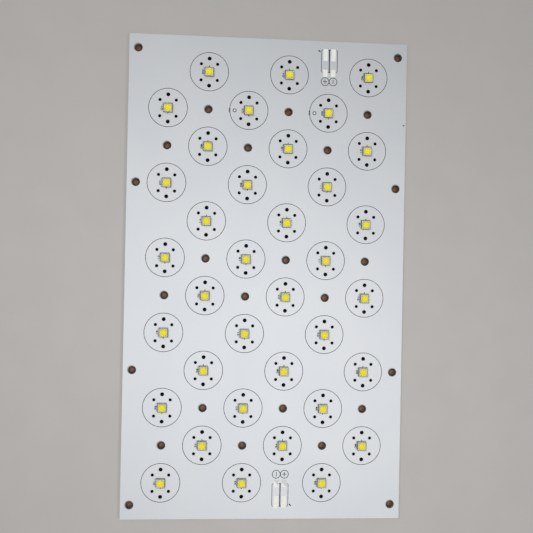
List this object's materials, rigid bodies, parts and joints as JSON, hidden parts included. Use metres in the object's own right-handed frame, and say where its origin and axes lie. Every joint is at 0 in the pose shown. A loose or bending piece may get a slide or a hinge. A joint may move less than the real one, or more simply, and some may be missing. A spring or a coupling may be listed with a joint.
{
  "type": "led module",
  "caption": "Flat white metal-core circuit board with staggered rows of domed square LEDs, lens-leg holes round each LED, screw holes and bare supply pads at both ends",
  "frame": {"origin": "middle of the back face of the aluminium plate", "axes": "+Z out of the LED side; +Y along the long side towards the upper supply pads; +X along the short side"},
  "size_m": [0.1128, 0.194, 0.0039],
  "materials": {
    "aluminium": "rolled sheet, drilled and scored",
    "dielectric": "filled resin layer",
    "copper": "etched copper foil",
    "white_mask": "semi-gloss white solder mask",
    "tin": "tinned pad with uneven solder",
    "ink": "printed dark ink line",
    "solder": "reflowed solder",
    "gold": "gold-plated contact",
    "ceramic": "fired white ceramic",
    "chip": "sapphire die",
    "phosphor": "yellow phosphor coat",
    "silicone": "clear moulded silicone"
  },
  "bodies": {
    "root": {"base_plate": "aluminium", "dielectric_layer": "dielectric", "plus_rails": "copper", "minus_rails": "copper", "string_links": "copper", "fiducial_dots": "copper", "solder_mask": "white_mask", "tinned_pads": "tin", "terminal_marks": "ink", "led_marks_1": "ink", "led_solder_1": "solder", "led_contacts_1": "gold", "led_substrates_1": "ceramic", "led_chips_1": "chip", "led_phosphors_1": "phosphor", "led_domes_1": "silicone", "led_marks_2": "ink", "led_solder_2": "solder", "led_contacts_2": "gold", "led_substrates_2": "ceramic", "led_chips_2": "chip", "led_phosphors_2": "phosphor", "led_domes_2": "silicone", "led_marks_3": "ink", "led_solder_3": "solder", "led_contacts_3": "gold", "led_substrates_3": "ceramic", "led_chips_3": "chip", "led_phosphors_3": "phosphor", "led_domes_3": "silicone", "led_marks_4": "ink", "led_solder_4": "solder", "led_contacts_4": "gold", "led_substrates_4": "ceramic", "led_chips_4": "chip", "led_phosphors_4": "phosphor", "led_domes_4": "silicone", "led_marks_5": "ink", "led_solder_5": "solder", "led_contacts_5": "gold", "led_substrates_5": "ceramic", "led_chips_5": "chip", "led_phosphors_5": "phosphor", "led_domes_5": "silicone", "led_marks_6": "ink", "led_solder_6": "solder", "led_contacts_6": "gold", "led_substrates_6": "ceramic", "led_chips_6": "chip", "led_phosphors_6": "phosphor", "led_domes_6": "silicone"}
  },
  "joints": []
}
